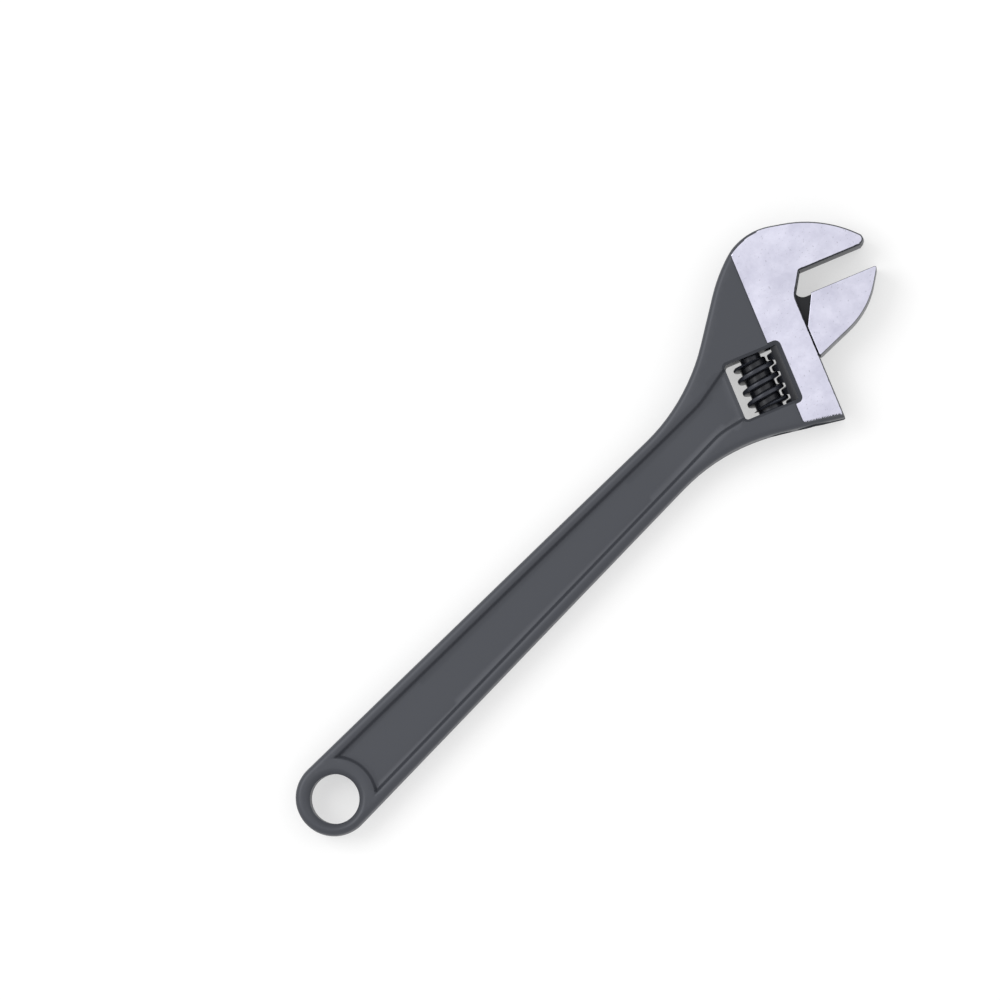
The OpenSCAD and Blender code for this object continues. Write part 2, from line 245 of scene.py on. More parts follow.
def rounded(corners):
    """A closed outline: straight lines between [x, y, radius] corners, joined by tangent arcs."""
    corners = np.asarray(corners, float)
    pieces = []
    for before, here, after in zip(np.roll(corners, 1, 0), corners, np.roll(corners, -1, 0)):
        point, radius = here[:2], here[2]
        if radius == 0:
            pieces.append(point[None])
            continue
        back, ahead = unit(before[:2] - point), unit(after[:2] - point)
        half = math.acos(np.clip(back @ ahead, -1, 1)) / 2
        centre = point + unit(back + ahead) * radius / math.sin(half)
        first = point + back * radius / math.tan(half) - centre
        last = point + ahead * radius / math.tan(half) - centre
        start = math.atan2(first[1], first[0])
        turn = (math.atan2(last[1], last[0]) - start + 3 * math.pi) % (2 * math.pi) - math.pi
        pieces.append(arc(centre, radius, start, turn))
    return np.concatenate(pieces)


def normals_of(outline):
    """Inward normals of a closed counter-clockwise outline: the mean of the two sides' left normals."""
    side = unit(np.roll(outline, -1, 0) - outline)
    left = np.stack([-side[:, 1], side[:, 0]], axis=1)
    return unit(left + np.roll(left, 1, 0))


def densify(outline, step):
    """The closed outline with its long straight sides cut into even steps."""
    ahead = np.roll(outline, -1, 0)
    count = np.maximum(1, np.ceil(np.linalg.norm(ahead - outline, axis=1) / step).astype(int))
    which = np.repeat(np.arange(len(outline)), count)
    share = np.concatenate([np.arange(n) / n for n in count])[:, None]
    return outline[which] * (1 - share) + ahead[which] * share


# ---- meshes ----


def grid_faces(rows, columns, wrap_rows=False, wrap_columns=True):
    """Quads of a grid of points, row by row, joined round where a direction wraps."""
    i = np.arange(rows if wrap_rows else rows - 1)
    j = np.arange(columns if wrap_columns else columns - 1)
    i, j = np.meshgrid(i, j, indexing="ij")
    k, m = (i + 1) % rows, (j + 1) % columns
    quads = np.stack([i * columns + j, i * columns + m, k * columns + m, k * columns + j], axis=-1)
    return quads.reshape(-1, 4)


def new_piece(name, points, faces):
    """A closed object from points in millimetres, with doubles merged and faces turned outwards."""
    mesh = bpy.data.meshes.new(name)
    mesh.from_pydata(np.asarray(points).tolist(), [], [list(map(int, face)) for face in faces])
    tidy = bmesh.new()
    tidy.from_mesh(mesh)
    bmesh.ops.remove_doubles(tidy, verts=tidy.verts, dist=2e-4)
    bmesh.ops.dissolve_degenerate(tidy, edges=tidy.edges, dist=1e-5)
    bmesh.ops.recalc_face_normals(tidy, faces=tidy.faces)
    open_edges = sum(not edge.is_manifold for edge in tidy.edges)
    tidy.to_mesh(mesh)
    tidy.free()
    if open_edges:
        raise RuntimeError(f"{name}: {open_edges} edges aren't closed")
    piece = bpy.data.objects.new(name, mesh)
    bpy.context.scene.collection.objects.link(piece)
    return piece


def boolean(piece, other, operation="DIFFERENCE"):
    """Cuts another object out of the piece, or joins it on, and removes the other object."""
    step = piece.modifiers.new("boolean", "BOOLEAN")
    step.operation = operation
    step.object = other
    step.solver = "MANIFOLD"
    done = piece.evaluated_get(bpy.context.evaluated_depsgraph_get())
    mesh = bpy.data.meshes.new_from_object(done)
    piece.modifiers.clear()
    old = piece.data
    piece.data = mesh
    bpy.data.meshes.remove(old)
    bpy.data.meshes.remove(other.data)
    if not len(mesh.polygons):
        raise RuntimeError(f"{piece.name}: the {operation.lower()} left nothing")


def finish_piece(piece, node, body, materials, sharp=28):
    """Brings the piece to metres, shades it smooth but for hard edges, hides the CAD node that it stands for
    and ties it to its body.

    Where a second material is given, the faces that lie in the two ground planes take it.
    """
    mesh = piece.data
    mesh.name = piece.name
    mesh.transform(Matrix.Scale(MM, 4))
    mark_edges(mesh)
    area = np.empty(len(mesh.polygons))
    mesh.polygons.foreach_get("area", area)
    mesh.polygons.foreach_set("use_smooth", area < FLAT_AREA * MM**2)
    mesh.set_sharp_from_angle(angle=math.radians(sharp))
    mesh.materials.clear()
    for material in materials:
        mesh.materials.append(material)
    if len(materials) > 1:
        grind(mesh, 1)
    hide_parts(node)
    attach(piece, body)


def in_head(local):
    """Points (u, v, z) of the head's frame in the wrench's frame."""
    local = np.asarray(local, float)
    flat = to_wrench(local[..., 0], local[..., 1])
    return np.concatenate([flat, local[..., 2:3]], axis=-1)


def stack(outline, rings, inward=None):
    """A closed solid from one outline: a ring of its points for each (inset, z), and a flat cap at each end.

    inset may be one number, or one for each point of the outline.
    """
    inward = normals_of(outline) if inward is None else inward
    n = len(outline)
    layers = [
        np.column_stack([outline + inward * np.broadcast_to(inset, n)[:, None], np.full(n, z)])
        for inset, z in rings
    ]
    faces = [list(face) for face in grid_faces(len(rings), n)]
    faces.append(list(range(n))[::-1])
    faces.append([(len(rings) - 1) * n + k for k in range(n)])
    return np.concatenate(layers), faces


def lathe(profile, u_axis=0.0, sides=96):
    """A closed solid turned about a line along v: its profile holds (radius, v), from the line back to it."""
    profile = np.asarray(profile, float)
    angle = 2 * math.pi * np.arange(sides) / sides
    radius, v = profile[:, 0][None], profile[:, 1][None]
    points = np.stack(
        [u_axis + radius * np.cos(angle)[:, None], v + 0 * angle[:, None], radius * np.sin(angle)[:, None]],
        axis=-1,
    )
    return in_head(points.reshape(-1, 3)), grid_faces(sides, len(profile), wrap_rows=True, wrap_columns=False)


def block(low, high):
    """A box of the head's frame, as points and faces."""
    low, high = np.asarray(low, float), np.asarray(high, float)
    outline = np.array([[low[0], low[1]], [high[0], low[1]], [high[0], high[1]], [low[0], high[1]]])
    points, faces = stack(outline, [(0, low[2]), (0, high[2])])
    return in_head(points), faces


# ---- distances and the body's height ----


def nearest(points, outline):
    """For each point: its distance to a closed outline, positive inside, and its place on it (a real index).

    Each side's nearest place is the foot of the perpendicular, kept within the side; the winding of the sides
    round the point says whether it is inside.
    """
    start, ahead = outline, np.roll(outline, -1, 0) - outline
    far = np.empty(len(points))
    place = np.empty(len(points))
    inside = np.empty(len(points), bool)
    for part in np.array_split(np.arange(len(points)), max(1, len(points) // 2000)):
        away = points[part][:, None] - start[None]
        t = np.clip((away * ahead).sum(-1) / np.maximum((ahead * ahead).sum(-1), 1e-12), 0, 1)
        gap = np.linalg.norm(away - t[..., None] * ahead, axis=-1)
        best = gap.argmin(1)
        row = np.arange(len(part))
        far[part], place[part] = gap[row, best], best + t[row, best]
        above = away[..., 1] < 0
        next_above = np.roll(above, -1, 1)
        cross = ahead[:, 0] * away[..., 1] - ahead[:, 1] * away[..., 0]
        turns = ((above != next_above) & ((cross > 0) == next_above)).sum(1)
        inside[part] = turns % 2 == 1
    return np.where(inside, far, -far), place


def along(values, place):
    """Values given at an outline's points, read at real-number places on it."""
    low = np.floor(place).astype(int)
    share = place - low
    return values[low % len(values)] * (1 - share) + values[(low + 1) % len(values)] * share


def offset_points(outline, distance, spacing):
    """Points of an outline moved inwards by a distance, without those that end up nearer to it than that."""
    even = densify(outline, spacing)
    moved = even + normals_of(even) * distance
    real, _ = nearest(moved, outline)
    return moved[np.abs(real - distance) < 0.02 + 0.03 * abs(distance)]


class BodyShape:
    """The body's outlines in millimetres and its height over the middle plane at any point."""

    def __init__(self):
        self.handle, self.head = [sizes(group) for group in props()[:2]]
        s, h = self.handle, self.head
        self.low_edge = lambda u: LOW_EDGE_V + LOW_EDGE_SLOPE * u
        taper = math.atan((s.end_half_width - s.neck_half_width) / (WORM[0] - NECK_BACK))
        end = arc((0, s.middle), s.end_half_width, math.pi / 2 - taper, math.pi + 2 * taper)
        throat_u, throat_v = h.slide_face + THROAT_BEVEL[0], FACE_V - THROAT_BEVEL[1]
        tip_u, crown_v = h.slide_face + h.throat_depth, FACE_V + h.crown
        crown = np.array([
            [h.slide_face, self.low_edge(h.slide_face), 1],
            [h.slide_face, throat_v, 8],
            [throat_u, FACE_V, 1],
            [tip_u, FACE_V, 3.5],
            [tip_u - 21.7, crown_v - 10.1, 70],
            [h.slide_face - 15.1, crown_v, 35],
            [h.slide_face - 36.9, FACE_V + 13.9, 95],
        ])
        self.outline = densify(rounded(np.vstack([
            np.column_stack([end, np.zeros(len(end))]),
            [WORM[0] - 40, s.middle - s.neck_half_width, NECK_BEND],
            np.column_stack([to_wrench(crown[:, 0], crown[:, 1]), crown[:, 2]]),
            [WORM[0] - 36.4, s.middle + s.neck_half_width, NECK_BEND],
        ])), 1.8)
        self.outline = np.clip(self.outline, *np.array(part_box("body"))[:, :2] / MM)
        self.inward = normals_of(self.outline)

        # machined faces stand square; forged sides lean in from the parting line
        u, v = to_head(self.outline)
        machined = (u > h.slide_face - 0.05) & (v < FACE_V + 0.05)
        in_ground, _ = nearest(self.outline, self.ground_outline())
        self.lean = np.where(machined, 0.0, FORGED_LEAN)
        self.edge = s.edge_round + (GROUND_EDGE - s.edge_round) * smooth(in_ground / 5 + 0.5)
        self.band = np.where(machined, 0.3, 0.45 + 0.9 * smooth((34 - u) / 18))
        self.top_line = self.outline + self.inward * self.lean[:, None]
        self.window = self.window_outline(0)
        self.recess = self.recess_outline()
        self.hole = arc((0, 0), HANG_R, 0, 2 * math.pi)[:-1]

    def ground_outline(self):
        """The ground faces' own edge before the head's outline trims it."""
        h = self.head
        low, far = h.ground_back + 1.6, 200
        crown_at = FACE_V + h.crown - 3.5
        step_v = -h.window_half - h.window_bevel + 1
        corners = np.array([
            [low, self.low_edge(low) + 2, 2.5],
            [far, self.low_edge(far) + 0.5, 0],
            [far, crown_at + 40, 0],
            [h.ground_back, crown_at, 6],
            [h.ground_back, step_v, 1],
            [low, step_v, 0.5],
        ])
        return rounded(np.column_stack([to_wrench(corners[:, 0], corners[:, 1]), corners[:, 2]]))

    def window_outline(self, grow):
        """The window's rounded rectangle, grown outwards."""
        h = self.head
        u = np.array([-h.window_back - grow, h.window_front + grow])[[0, 1, 1, 0]]
        v = np.array([-h.window_half - grow, h.window_half + grow])[[0, 0, 1, 1]]
        radius = np.array([2, 1, 1, 2]) + grow
        return densify(rounded(np.column_stack([to_wrench(u, v), radius])), 1.0)

    def recess_outline(self):
        """The recess between the rims, from the boss to behind the window's back wall."""
        s, h = self.handle, self.head
        at_boss, at_neck = s.end_half_width - s.rim, s.neck_half_width - s.rim
        u = np.array([-h.window_back, 0, 0, -h.window_back])
        v = np.array([-1, -1, 1, 1]) * h.window_half
        return densify(rounded(np.vstack([
            [0, s.middle - at_boss, 0],
            [WORM[0] - 36, s.middle - at_neck, 40],
            np.column_stack([to_wrench(u, v), np.zeros(4)]),
            [WORM[0] - 32.4, s.middle + at_neck, 60],
            [0, s.middle + at_boss, 0],
        ])), 1.4)

    def skin(self, x):
        """Half the forged thickness at x: the handle's, easing to the head's over the ramp."""
        s = self.handle
        start, end = WORM[0] - s.ramp_start, WORM[0] - s.ramp_end
        rise = HALF_HEAD - self.head.ground_step - s.half_thickness
        return s.half_thickness + rise * smooth((x - start) / (end - start))

    def in_recess(self, points):
        """How far a point is inside the recess: the least of its distances to the outline and to the boss."""
        inside, _ = nearest(points, self.recess)
        return np.minimum(inside, np.linalg.norm(points, axis=1) - self.handle.boss_radius)

    def on_ground(self, points, to_edge, place):
        """How far a point is inside the ground faces: from their own edge and the outline's dark band."""
        inside, _ = nearest(points, self.ground)
        return np.minimum(inside, to_edge - along(self.band, place))

    def height(self, points):
        """Height over the middle plane.

        Skin, less a quarter circle within the edge radius, less the recess's S-shaped wall, plus the ground
        step; then no higher than the dish round the hang hole and the window's 45 degree bevel.
        """
        s, h = self.handle, self.head
        to_edge, place = nearest(points, self.top_line)
        to_edge = np.maximum(to_edge - 0.01, 0)
        radius = along(self.edge, place)
        short = np.clip(radius - to_edge, 0, None)
        z = self.skin(points[:, 0]) - radius + np.sqrt(np.maximum(radius**2 - short**2, 0))
        depth = self.in_recess(points)
        z -= s.recess_depth * smooth(depth / s.recess_wall)
        self.ground = self.ground_outline()
        z += h.ground_step * smooth(self.on_ground(points, to_edge, place) / GROUND_SLOPE + 0.01)
        from_window = -nearest(points, self.window)[0]
        u, _ = to_head(points)
        lip = np.exp(-((from_window - 1.7) / 1.1) ** 2) * (depth > 0) * smooth((-h.window_back - u + 1) / 1)
        z += LIP * lip
        z = np.minimum(z, HALF_HEAD - h.window_bevel + np.maximum(from_window, 0))
        from_hole = np.linalg.norm(points, axis=1) - HANG_R
        dish = s.half_thickness - s.hole_bevel * (1 - np.sin(np.clip(from_hole / DISH, 0, 1) * math.pi / 2))
        return np.where(from_hole < DISH, np.minimum(z, dish), z)

    def plan(self):
        """Points of the top surface in plan, and its triangles."""
        s, h = self.handle, self.head
        rings = [self.top_line, self.window, self.hole]
        loose = [
            offset_points(self.top_line, d, 1.5) for d in (0.12, 0.4, 0.8, 1.4, 2.2, s.edge_round)
        ]
        loose += [offset_points(self.recess, s.recess_wall * t, 1.8) for t in np.linspace(0, 1, 7)]
        loose += [
            arc((0, 0), s.boss_radius + s.recess_wall * t, 0, 2 * math.pi)[:-1] for t in np.linspace(0, 1, 7)
        ]
        loose += [arc((0, 0), HANG_R + DISH * t, 0, 2 * math.pi)[:-1] for t in np.linspace(0, 1, 7)[1:]]
        loose += [arc((0, 0), HANG_R + DISH + 2.2, 0, 2 * math.pi)[:-1]]
        loose += [offset_points(self.ground_outline(), d, 0.8) for d in (0, GROUND_SLOPE / 2, GROUND_SLOPE)]
        for band in (0.3, 0.3 + GROUND_SLOPE, 0.45, 0.45 + GROUND_SLOPE, 1.35, 1.35 + GROUND_SLOPE):
            line = offset_points(self.top_line, band, 1.2)
            loose.append(line[nearest(line, self.ground_outline())[0] > 0])
        bevel = h.window_bevel
        loose += [self.window_outline(g) for g in (0.6, 1.2, bevel - 0.8, bevel, bevel + 1)]
        low, high = self.outline.min(0), self.outline.max(0)
        x, y = np.meshgrid(np.arange(low[0], high[0], 3.2), np.arange(low[1], high[1], 2.8))
        x = x + 1.6 * (np.arange(len(x)) % 2)[:, None]
        even = np.column_stack([x.ravel(), y.ravel()])
        drawn = np.concatenate(rings + loose)
        clear = np.ones(len(even), bool)
        for part in np.array_split(np.arange(len(even)), 12):
            gap = np.abs(even[part][:, None] - drawn[None]).max(-1).min(1)
            clear[part] = gap > 1.1
        free = np.concatenate(loose + [even[clear]])
        inside = (nearest(free, self.top_line)[0] > 0.05) & (nearest(free, self.window)[0] < -0.05)
        inside &= np.linalg.norm(free, axis=1) > HANG_R + 0.05
        free = thin(free[inside], 0.16)
        points = np.concatenate(rings + [free])
        edges, start = [], 0
        for ring in rings:
            k = np.arange(len(ring))
            edges.append(np.column_stack([k, np.roll(k, -1)]) + start)
            start += len(ring)
        found = delaunay_2d_cdt(
            [Vector(p) for p in points.tolist()], np.concatenate(edges).tolist(), [], 0, 1e-5, False
        )
        flat = np.array([tuple(p) for p in found[0]])
        faces = np.array([face for face in found[2] if len(face) == 3])
        middle = flat[faces].mean(1)
        keep = (nearest(middle, self.top_line)[0] > 0) & (nearest(middle, self.window)[0] < 0)
        keep &= nearest(middle, self.hole)[0] < 0
        return flat, faces[keep], rings


def thin(points, gap):
    """The points with those that fall in one small cell with another left out."""
    cell = np.round(points / gap).astype(np.int64)
    _, first = np.unique(cell, axis=0, return_index=True)
    return points[np.sort(first)]


def sizes(group):
    """A property group's values with lengths in millimetres."""
    out = {}
    for key, prop in group.bl_rna.properties.items():
        if prop.type in {"FLOAT", "INT"} and not prop.is_readonly and getattr(prop, "array_length", 0) == 0:
            value = getattr(group, key)
            out[key] = value / MM if getattr(prop, "unit", "NONE") == "LENGTH" else value
    return SimpleNamespace(**out)


# ---- materials ----


class Nodes:
    """A short way to lay out a material's nodes."""

    def __init__(self, name, **constants):
        self.material = bpy.data.materials.new(name)
        self.material.use_nodes = True
        self.tree = self.material.node_tree
        self.shader = self.tree.nodes["Principled BSDF"]
        for socket, value in constants.items():
            self.shader.inputs[socket.replace("_", " ")].default_value = value
        self.place = self.add("ShaderNodeTexCoord").outputs["Object"]

    def add(self, kind, inputs=None, **settings):
        node = self.tree.nodes.new(kind)
        for key, value in settings.items():
            setattr(node, key, value)
        for key, value in (inputs or {}).items():
            if isinstance(value, bpy.types.NodeSocket):
                self.tree.links.new(value, node.inputs[key])
            else:
                node.inputs[key].default_value = value
        return node

    def mapping(self, turn, stretch):
        values = {"Vector": self.place, "Rotation": turn, "Scale": stretch}
        return self.add("ShaderNodeMapping", values).outputs[0]

    def noise(self, scale, detail, rough, place=None):
        values = {"Vector": place or self.place, "Scale": scale, "Detail": detail, "Roughness": rough}
        return self.add("ShaderNodeTexNoise", values).outputs["Fac"]

    def spread(self, value, low, high, to_low, to_high):
        values = {"Value": value, "From Min": low, "From Max": high, "To Min": to_low, "To Max": to_high}
        return self.add("ShaderNodeMapRange", values).outputs["Result"]

    def math(self, operation, a, b=0.0):
        return self.add("ShaderNodeMath", {0: a, 1: b}, operation=operation).outputs[0]

    def blend(self, factor, a, b):
        node = self.add("ShaderNodeMix", data_type="RGBA")
        for socket, value in zip((node.inputs[0], node.inputs[6], node.inputs[7]), (factor, a, b)):
            if isinstance(value, bpy.types.NodeSocket):
                self.tree.links.new(value, socket)
            else:
                socket.default_value = value
        return node.outputs[2]

    def wear(self):
        return self.add("ShaderNodeAttribute", attribute_name="edge").outputs["Fac"]

    def bump(self, height, strength, distance):
        values = {"Height": height, "Strength": strength, "Distance": distance}
        return self.add("ShaderNodeBump", values).outputs["Normal"]

    def finish(self, **links):
        for socket, value in links.items():
            self.tree.links.new(value, self.shader.inputs[socket.replace("_", " ")])
        return self.material


def tint(base, factor, gain=(1, 1, 1)):
    return (*[min(1, c * factor * g) for c, g in zip(base, gain)], 1)


def ground_material(base):
    """Bright ground steel: hair-fine lines across the jaws, cloudy patches and a few dark pits."""
    n = Nodes("ground_faces", Metallic=1.0)
    lines = n.noise(260, 3, 0.7, n.mapping((0, 0, -HEAD_TURN), (1, 9, 1)))
    cloud = n.noise(60, 4, 0.65)
    patch = n.noise(16, 2, 0.5)
    pits = n.spread(n.noise(900, 2, 0.5), 0.66, 0.72, 0, 1)
    colour = n.blend(n.spread(cloud, 0.35, 0.65, 0, 1), tint(base, 1.04), tint(base, 0.84, (1, 1, 1.03)))
    colour = n.blend(n.math("MULTIPLY", pits, 0.45), colour, tint(base, 0.45))
    rough = n.math("ADD", n.spread(lines, 0.2, 0.8, 0.30, 0.42), n.spread(patch, 0.3, 0.7, -0.03, 0.05))
    return n.finish(Base_Color=colour, Roughness=rough, Normal=n.bump(lines, 0.12, 0.00004))


def oxide_material(base):
    """Black oxide over cut steel: smoother than the forging, brighter on its edges."""
    n = Nodes("black_oxide", Metallic=0.35, Specular_IOR_Level=0.6)
    mottle = n.noise(90, 3, 0.6)
    grain = n.noise(2200, 2, 0.6)
    colour = n.blend(n.spread(mottle, 0.3, 0.7, 0, 1), tint(base, 0.8), tint(base, 1.5))
    colour = n.blend(n.spread(n.wear(), 0.1, 0.9, 0, 0.6), colour, tint(base, 5.0))
    rough = n.spread(mottle, 0.3, 0.7, 0.27, 0.4)
    return n.finish(Base_Color=colour, Roughness=rough, Normal=n.bump(grain, 0.25, 0.00004))


def turned_material(name, base, rough):
    """Dark turned steel with faint rings of tool marks and a little discolouring."""
    n = Nodes(name, Metallic=1.0)
    marks = n.noise(700, 2, 0.6, n.mapping((0, 0, -HEAD_TURN), (0.2, 1, 0.2)))
    cloud = n.noise(120, 3, 0.6)
    colour = n.blend(n.spread(cloud, 0.3, 0.7, 0, 1), tint(base, 0.8), tint(base, 1.2))
    return n.finish(
        Base_Color=colour, Roughness=n.spread(cloud, 0.3, 0.7, rough - 0.05, rough + 0.08),
        Normal=n.bump(marks, 0.15, 0.00003),
    )


def floor_material(base):
    """Matt pale light table with a trace of unevenness."""
    n = Nodes("floor", Specular_IOR_Level=0.2, Emission_Color=(1, 1, 1, 1), Emission_Strength=FLOOR_GLOW)
    cloud = n.noise(3, 2, 0.5)
    colour = n.blend(cloud, tint(base, 0.985), tint(base, 1.0))
    return n.finish(Base_Color=colour, Roughness=n.spread(cloud, 0.3, 0.7, 0.75, 0.85))


def the_material(name):
    """The finish of that name, made the first time it is asked for.

    black_forging isn't made here: it is the plain finish that comes with the frame, with no grain or wear.
    """
    look = props()[4]
    makers = {
        "ground_faces": lambda: ground_material(look.ground),
        "black_oxide": lambda: oxide_material(look.oxide),
        "turned_steel": lambda: turned_material("turned_steel", (0.16, 0.16, 0.18), 0.38),
        "spring_steel": lambda: turned_material("spring_steel", (0.42, 0.42, 0.45), 0.3),
        "floor": lambda: floor_material(look.floor),
    }
    return bpy.data.materials.get(name) or makers[name]()


def mark_edges(mesh):
    """A point attribute, 0 to 1, high on convex edges: how far the normals of joined points spread."""
    n = len(mesh.vertices)
    place, normal = np.empty(n * 3), np.empty(n * 3)
    mesh.vertices.foreach_get("co", place)
    mesh.vertex_normals.foreach_get("vector", normal)
    place, normal = place.reshape(-1, 3) / MM, normal.reshape(-1, 3)
    ends = np.empty(len(mesh.edges) * 2, np.int32)
    mesh.edges.foreach_get("vertices", ends)
    a, b = ends.reshape(-1, 2).T
    span = place[b] - place[a]
    length_ = np.maximum(np.linalg.norm(span, axis=1), 0.05)
    bend = ((normal[b] - normal[a]) * span).sum(1) / length_**2
    total, count = np.zeros(n), np.zeros(n)
    for end in (a, b):
        np.add.at(total, end, bend)
        np.add.at(count, end, 1)
    edge = mesh.attributes.new("edge", "FLOAT", "POINT")
    edge.data.foreach_set("value", np.clip(total / np.maximum(count, 1) * 1.4, 0, 1).astype(np.float32))


def grind(mesh, index):
    """Gives the faces that lie in the two ground planes the material of that index."""
    n = len(mesh.polygons)
    centre, normal = np.empty(n * 3), np.empty(n * 3)
    mesh.polygons.foreach_get("center", centre)
    mesh.polygons.foreach_get("normal", normal)
    slots = np.empty(n, np.int32)
    mesh.polygons.foreach_get("material_index", slots)
    high = np.abs(centre.reshape(-1, 3)[:, 2]) > (HALF_HEAD - 0.06) * MM
    level = np.abs(normal.reshape(-1, 3)[:, 2]) > 0.97
    mesh.polygons.foreach_set("material_index", np.where(high & level, index, slots).astype(np.int32))
    rounded_off = np.empty(n, bool)
    mesh.polygons.foreach_get("use_smooth", rounded_off)
    mesh.polygons.foreach_set("use_smooth", rounded_off & ~(high & level))


# ---- pieces ----


def make_body():
    """The body: heights over a plan of triangles, mirrored below, closed by walls, then bored and slotted."""
    shape = BodyShape()
    flat, faces, rings = shape.plan()
    z = shape.height(flat)
    top = np.column_stack([flat, z])
    parts, all_faces, start = [top, top * (1, 1, -1)], [faces, faces[:, ::-1] + len(top)], 2 * len(top)
    for ring, lean in zip(rings, (shape.lean, 0 * rings[1][:, 0], 0 * rings[2][:, 0])):
        rim = shape.height(ring)
        level = rim[None] * np.array([1, 0.55, 0.1, 0.04, -0.04, -0.1, -0.55, -1])[:, None]
        level[[2, 5]] = np.array([0.9, -0.9])[:, None]
        level[[3, 4]] = np.array([0.45, -0.45])[:, None]
        out = np.array([0, 0.45, 0.62, 1, 1, 0.62, 0.45, 0])[:, None] * lean[None]
        place = ring[None] - normals_of(ring)[None] * out[..., None]
        parts.append(np.concatenate([place, level[..., None]], axis=-1).reshape(-1, 3))
        all_faces.append(grid_faces(8, len(ring)) + start)
        start += len(parts[-1])
    faces = [face for group in all_faces for face in group.tolist()]
    body = new_piece("wrench_body_forging", np.concatenate(parts), faces)

    h, j, w = [sizes(group) for group in props()[1:4]]
    closed = JAW_V + JOINTS["jaw_slide"]["range_m"][0] / -MM
    end = closed + j.rail_above + 2
    way = j.rail_radius + h.bore_gap
    ways = new_piece("ways", *lathe([(0, BELOW), (way, BELOW), (way, end), (0, end)], j.rail_axis))
    neck = j.neck_half + 0.2
    reach = h.slide_face + THROAT_BEVEL[0] + 0.4
    neck_way = new_piece("neck_way", *block((j.rail_axis, BELOW - 1, -neck), (reach, closed + 6.8, neck)))
    boolean(ways, neck_way, "UNION")
    head_way, shank_way = w.screw_head + 0.15, w.pin_radius + 0.05
    end = SCREW_V + 1
    profile = [
        (0, BELOW), (head_way, BELOW), (head_way, SEAT_V), (shank_way, SEAT_V), (shank_way, end), (0, end),
    ]
    boolean(ways, new_piece("screw_way", *lathe(profile)), "UNION")
    boolean(body, ways)
    materials = [the_material("black_forging"), the_material("ground_faces")]
    finish_piece(body, "body", "wrench_body", materials, 32)


def eased_rings(half, radius, steps=4):
    """(inset, z) rings of a plate whose edges are rounded by quarter circles."""
    turn = np.linspace(0, math.pi / 2, steps + 1)
    upper = [(radius * (1 - math.cos(t)), half - radius * (1 - math.sin(t))) for t in turn]
    return [(inset, -z) for inset, z in upper[::-1]] + upper


def make_jaw():
    """The sliding jaw: a plate with eased edges, a thinner neck and a round rail with the rack cut in it."""
    j, w = [sizes(group) for group in props()[2:4]]
    back, inside = j.back, j.back + JAW_BEVEL[0] + 0.2
    bend_u, bend_v, bend_radius = JAW_BACK_BEND
    corners = np.array([
        [back, JAW_V - j.depth, 0.8],
        [back + j.length - bend_u, JAW_V - bend_v, bend_radius],
        [back + j.length, JAW_V, 1],
        [back + JAW_BEVEL[0], JAW_V, 0.6],
        [back, JAW_V - JAW_BEVEL[1], 0.8],
    ])
    outline = densify(rounded(corners), 2)
    points, faces = stack(outline, eased_rings(HALF_HEAD, EDGE_EASE))
    piece = new_piece("sliding_jaw_with_rail", in_head(points), faces)

    foot = JAW_V - j.depth + NECK_FOOT
    neck_front = back + 0.8
    corners = np.array([
        [j.rail_axis, foot, 0],
        [back + 1, foot, 0],
        [inside, foot + 9, 0],
        [inside, JAW_V - 0.4, 0],
        [neck_front, JAW_V - 0.4, 5],
        [neck_front, JAW_V + NECK_TOP, 1],
        [j.rail_axis, JAW_V + NECK_TOP, 0],
    ])
    points, faces = stack(densify(rounded(corners), 3), [(0, -j.neck_half), (0, j.neck_half)])
    boolean(piece, new_piece("neck", in_head(points), faces), "UNION")

    top = JAW_V + j.rail_above
    low, bevel, r = top - j.rail_length, 1.5, j.rail_radius
    ends = np.array([[0, low], [r - bevel, low], [r - 0.45, low + bevel * 0.6], [r, low + bevel + 0.4]])
    side = np.column_stack([[r] * 9, np.linspace(low + 6, top - 6, 9)])
    profile = np.vstack([ends, side, (ends * (1, -1) + (0, low + top))[::-1]])
    rail = new_piece("rail", *lathe(profile, j.rail_axis, 128))
    boolean(rail, new_piece("gaps", *rack_gaps(j, w, low, top)))
    boolean(piece, rail, "UNION")
    materials = [the_material("black_oxide"), the_material("ground_faces")]
    finish_piece(piece, "sliding_jaw", "sliding_jaw", materials, 30)


def thread_half(w, r):
    """Half the thread's width at a radius."""
    return w.crest_width / 2 + FLANK_SLOPE * (w.crest_radius - r)


def rack_gaps(j, w, low, top):
    """The rack's gaps as bars across the rail, one for each turn of the thread, leaning by the thread's lead.

    Each bar's section is the thread's own section plus the free play, flared where it leaves the rail.
    """
    tip = j.rail_axis - j.rail_radius
    lead = math.atan(PITCH / (math.pi * (w.crest_radius + tip)))
    half = lambda u: thread_half(w, u) + j.mesh_play / 2
    soft = 0.55
    section = np.array([
        [tip - 2, half(tip) + 0.9, 0], [tip - 0.1, half(tip) + 0.55, 0], [tip + 0.7, half(tip + 0.7), 0],
        [j.tooth_root, half(j.tooth_root), soft],
    ])
    section = rounded(np.vstack([section * (1, -1, 1), section[::-1]]))
    first = math.ceil((low - w.phase) / PITCH)
    last = math.floor((top - w.phase) / PITCH)
    z = np.linspace(-1, 1, 9) * (j.rail_radius + 2)
    points, faces, start = [], [], 0
    for k in range(first, last + 1):
        middle = w.phase + k * PITCH - j.mesh_play / 2 + j.bearing_gap
        bar = np.concatenate([
            np.column_stack([section[:, 0], middle + section[:, 1] * math.cos(lead) - level * math.sin(lead),
                             section[:, 1] * math.sin(lead) + level * math.cos(lead)]) for level in z
        ])
        n = len(section)
        faces += (grid_faces(len(z), n) + start).tolist()
        faces += [[start + i for i in range(n)][::-1], [start + (len(z) - 1) * n + i for i in range(n)]]
        points.append(bar)
        start += len(bar)
    return in_head(np.concatenate(points)), faces


